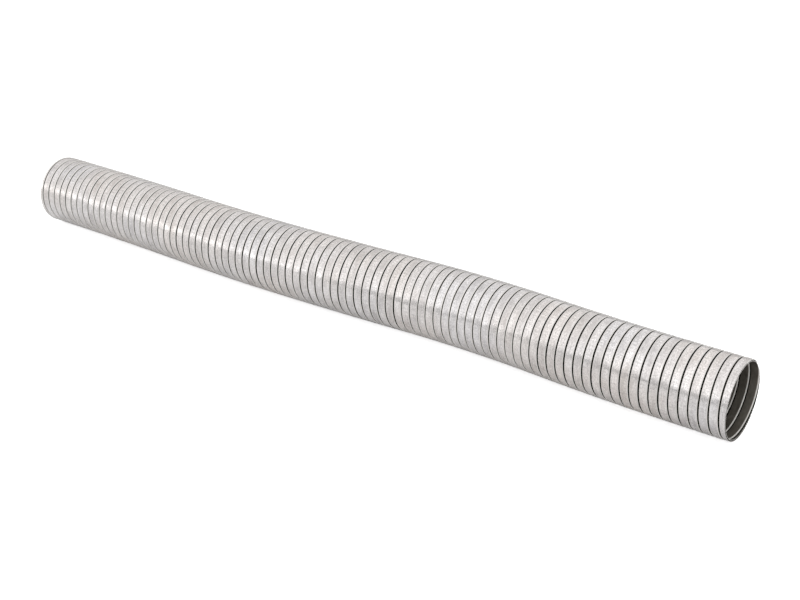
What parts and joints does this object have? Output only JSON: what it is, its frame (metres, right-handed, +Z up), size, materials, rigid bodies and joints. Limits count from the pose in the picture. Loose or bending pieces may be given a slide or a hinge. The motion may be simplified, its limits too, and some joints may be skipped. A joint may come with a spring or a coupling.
{
  "type": "strip-wound metal hose",
  "caption": "Flexible metal hose wound from one interlocked steel strip, lying in a slight S-bend, with bare square-cut ends.",
  "frame": {"origin": "centre of the bounding box in plan, on the surface that the hose lies on", "axes": "+X along the hose from one cut end to the other, +Y sideways across it, +Z up"},
  "size_m": [0.917, 0.0916, 0.0803],
  "materials": {
    "galvanised_steel": "satin galvanised"
  },
  "bodies": {
    "root": {"wound_strip": "galvanised_steel"}
  },
  "joints": []
}
